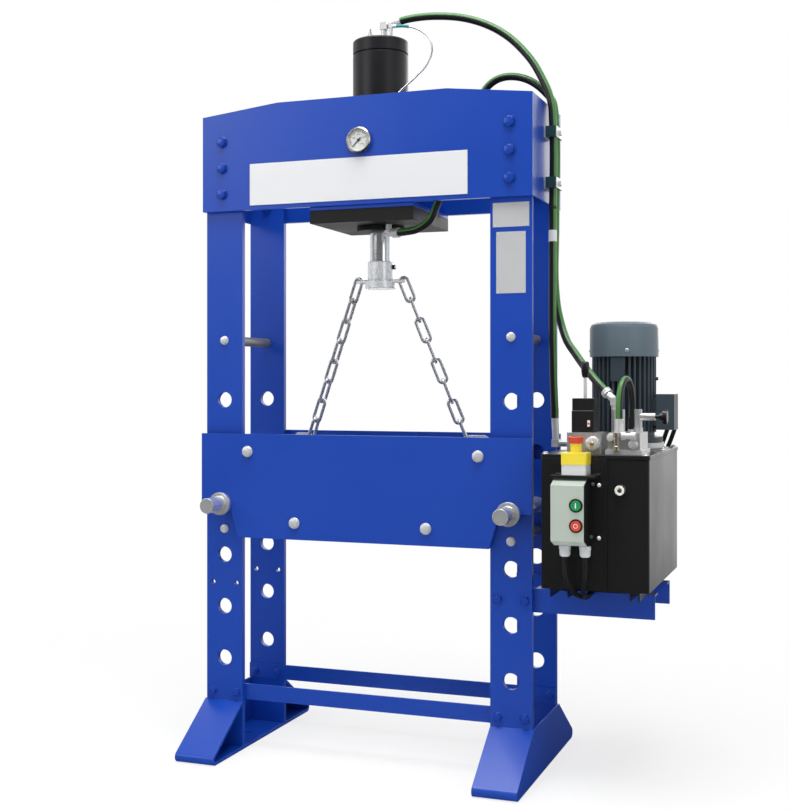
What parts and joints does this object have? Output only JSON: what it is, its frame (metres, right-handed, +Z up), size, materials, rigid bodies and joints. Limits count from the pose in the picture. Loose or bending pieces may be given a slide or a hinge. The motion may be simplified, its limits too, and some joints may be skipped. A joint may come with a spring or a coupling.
{
  "type": "hydraulic press",
  "caption": "Floor-standing H-frame workshop hydraulic press with a pinned height-adjustable table, double-acting cylinder, lifting chains and a side power unit.",
  "frame": {"origin": "on the floor under the ram axis, midway between the two floor anchor holes", "axes": "+Z up along the ram axis, +X towards the power unit, -Y towards the operator"},
  "size_m": [1.25, 0.627, 1.981],
  "materials": {
    "frame_blue": "satin blue enamel",
    "bolt_blue": "painted over",
    "zinc": "bright zinc plate",
    "pin_steel": "turned and zinc plated",
    "chain_zinc": "bright zinc plate",
    "rod_chrome": "hard chrome, ground",
    "raw_steel": "dark machined steel",
    "cylinder_black": "satin black enamel",
    "tank_black": "satin black enamel",
    "motor_grey": "blue-grey enamel",
    "fan_plastic": "moulded",
    "valve_black": "phosphated black",
    "block_steel": "machined and plated",
    "sign_white": "blank sheet",
    "plate_silver": "blank anodised sheet",
    "gauge_steel": "polished bezel, white dial",
    "gauge_glass": "clear",
    "needle_black": "matt",
    "starter_green": "moulded, grey-green",
    "starter_black": "moulded",
    "button_green": "moulded",
    "button_red": "moulded",
    "estop_yellow": "moulded",
    "knob_black": "moulded",
    "hose_rubber": "black with a green stripe",
    "capillary_line": "clear sleeve",
    "cable_black": "matt",
    "clamp_green": "moulded, dark green"
  },
  "bodies": {
    "frame": {"left_foot": "frame_blue", "right_foot": "frame_blue", "left_posts": "frame_blue", "right_posts": "frame_blue", "ties": "frame_blue", "column_spacers": "zinc", "zinc_bolts": "zinc", "frame_bolts": "bolt_blue", "crown_front_plate": "frame_blue", "crown_rear_plate": "frame_blue", "crown_side_plates": "frame_blue", "crown_pad": "frame_blue", "cylinder_plate": "raw_steel", "cylinder_barrel": "cylinder_black", "cylinder_cap": "cylinder_black", "cylinder_gland": "raw_steel", "sign_panel": "sign_white", "data_plates": "plate_silver", "gauge_case": "gauge_steel", "gauge_glass": "gauge_glass", "table_plates": "frame_blue", "table_spacers": "zinc", "bracket_arms": "frame_blue", "tank": "tank_black", "tank_lid": "tank_black", "motor_housing": "motor_grey", "fan_cover": "motor_grey", "terminal_box": "motor_grey", "manifold": "block_steel", "lever_valve": "valve_black", "control_plate": "tank_black", "starter_base": "starter_black", "starter_cover": "starter_green", "estop_box": "estop_yellow", "pressure_hose": "hose_rubber", "return_hose": "hose_rubber", "loop_hose": "hose_rubber", "gauge_capillary": "capillary_line", "fittings": "zinc", "hose_clamps": "clamp_green", "control_cables": "cable_black"},
    "ram": {"piston_rod": "rod_chrome", "ram_head": "zinc"},
    "left_chain_1": {"left_chain_1": "chain_zinc"},
    "left_chain_2": {"left_chain_2": "chain_zinc"},
    "left_chain_3": {"left_chain_3": "chain_zinc"},
    "left_chain_4": {"left_chain_4": "chain_zinc"},
    "right_chain_1": {"right_chain_1": "chain_zinc"},
    "right_chain_2": {"right_chain_2": "chain_zinc"},
    "right_chain_3": {"right_chain_3": "chain_zinc"},
    "right_chain_4": {"right_chain_4": "chain_zinc"},
    "left_pin": {"left_pin": "pin_steel"},
    "right_pin": {"right_pin": "pin_steel"},
    "lever": {"valve_lever": "valve_black"},
    "knob": {"relief_knob": "knob_black"},
    "needle": {"gauge_needle": "needle_black"},
    "start_button": {"start_button": "button_green"},
    "stop_button": {"stop_button": "button_red"},
    "estop": {"estop_button": "button_red"},
    "fan": {"motor_fan": "fan_plastic"}
  },
  "joints": [
    {"name": "ram_slide", "type": "slide", "parent": "frame", "child": "ram", "axis": [0, 0, -1], "range_m": [0, 0.22]},
    {"name": "left_chain_hinge_1", "type": "hinge", "parent": "ram", "child": "left_chain_1", "pos_m": [-0.06506, 0.00317, 1.26602], "axis": [0.2756, 0.9613, 0], "range_deg": [-43, 0]},
    {"name": "left_chain_hinge_2", "type": "hinge", "parent": "left_chain_1", "child": "left_chain_2", "pos_m": [-0.10696, 0.01519, 1.15701], "axis": [0.2756, 0.9613, 0], "range_deg": [0, 21]},
    {"name": "left_chain_hinge_3", "type": "hinge", "parent": "left_chain_2", "child": "left_chain_3", "pos_m": [-0.14887, 0.02721, 1.04801], "axis": [0.2756, 0.9613, 0], "range_deg": [0, 36]},
    {"name": "left_chain_hinge_4", "type": "hinge", "parent": "left_chain_3", "child": "left_chain_4", "pos_m": [-0.19078, 0.03922, 0.939], "axis": [0.2756, 0.9613, 0], "range_deg": [0, 104]},
    {"name": "right_chain_hinge_1", "type": "hinge", "parent": "ram", "child": "right_chain_1", "pos_m": [0.06506, 0.00317, 1.26602], "axis": [-0.2756, 0.9613, 0], "range_deg": [0, 43]},
    {"name": "right_chain_hinge_2", "type": "hinge", "parent": "right_chain_1", "child": "right_chain_2", "pos_m": [0.10696, 0.01519, 1.15701], "axis": [-0.2756, 0.9613, 0], "range_deg": [-21, 0]},
    {"name": "right_chain_hinge_3", "type": "hinge", "parent": "right_chain_2", "child": "right_chain_3", "pos_m": [0.14887, 0.02721, 1.04801], "axis": [-0.2756, 0.9613, 0], "range_deg": [-36, 0]},
    {"name": "right_chain_hinge_4", "type": "hinge", "parent": "right_chain_3", "child": "right_chain_4", "pos_m": [0.19078, 0.03922, 0.939], "axis": [-0.2756, 0.9613, 0], "range_deg": [-104, 0]},
    {"name": "left_pin_slide", "type": "slide", "parent": "frame", "child": "left_pin", "axis": [0, -1, 0], "range_m": [0, 0.29]},
    {"name": "right_pin_slide", "type": "slide", "parent": "frame", "child": "right_pin", "axis": [0, -1, 0], "range_m": [0, 0.29]},
    {"name": "lever_rock", "type": "hinge", "parent": "frame", "child": "lever", "pos_m": [0.5935, -0.16, 0.943], "axis": [1, 0, 0], "range_deg": [-18, 18], "stiffness_Nm_per_rad": 4},
    {"name": "relief_turn", "type": "hinge", "parent": "frame", "child": "knob", "pos_m": [0.7785, -0.15, 0.911], "axis": [1, 0, 0], "range_deg": [-270, 270]},
    {"name": "needle_turn", "type": "hinge", "parent": "frame", "child": "needle", "pos_m": [0, -0.1595, 1.621], "axis": [0, 1, 0], "range_deg": [0, 270], "stiffness_Nm_per_rad": 0.002},
    {"name": "start_press", "type": "slide", "parent": "frame", "child": "start_button", "axis": [0, 1, 0], "range_m": [0, 0.003], "stiffness_N_per_m": 600},
    {"name": "stop_press", "type": "slide", "parent": "frame", "child": "stop_button", "axis": [0, 1, 0], "range_m": [0, 0.003], "stiffness_N_per_m": 600},
    {"name": "estop_press", "type": "slide", "parent": "frame", "child": "estop", "axis": [0, 0, -1], "range_m": [0, 0.004]},
    {"name": "fan_spin", "type": "hinge", "parent": "frame", "child": "fan", "pos_m": [0.6355, 0.13, 1.08], "axis": [0, 0, 1], "continuous": true}
  ],
  "couplings": [
    {"joint": "left_chain_hinge_1", "follows": "ram_slide", "rad_per_m": -3.26},
    {"joint": "left_chain_hinge_2", "follows": "ram_slide", "rad_per_m": 1.51},
    {"joint": "left_chain_hinge_3", "follows": "ram_slide", "rad_per_m": 2.7},
    {"joint": "left_chain_hinge_4", "follows": "ram_slide", "rad_per_m": 8.15},
    {"joint": "right_chain_hinge_1", "follows": "ram_slide", "rad_per_m": 3.26},
    {"joint": "right_chain_hinge_2", "follows": "ram_slide", "rad_per_m": -1.51},
    {"joint": "right_chain_hinge_3", "follows": "ram_slide", "rad_per_m": -2.7},
    {"joint": "right_chain_hinge_4", "follows": "ram_slide", "rad_per_m": -8.15}
  ]
}
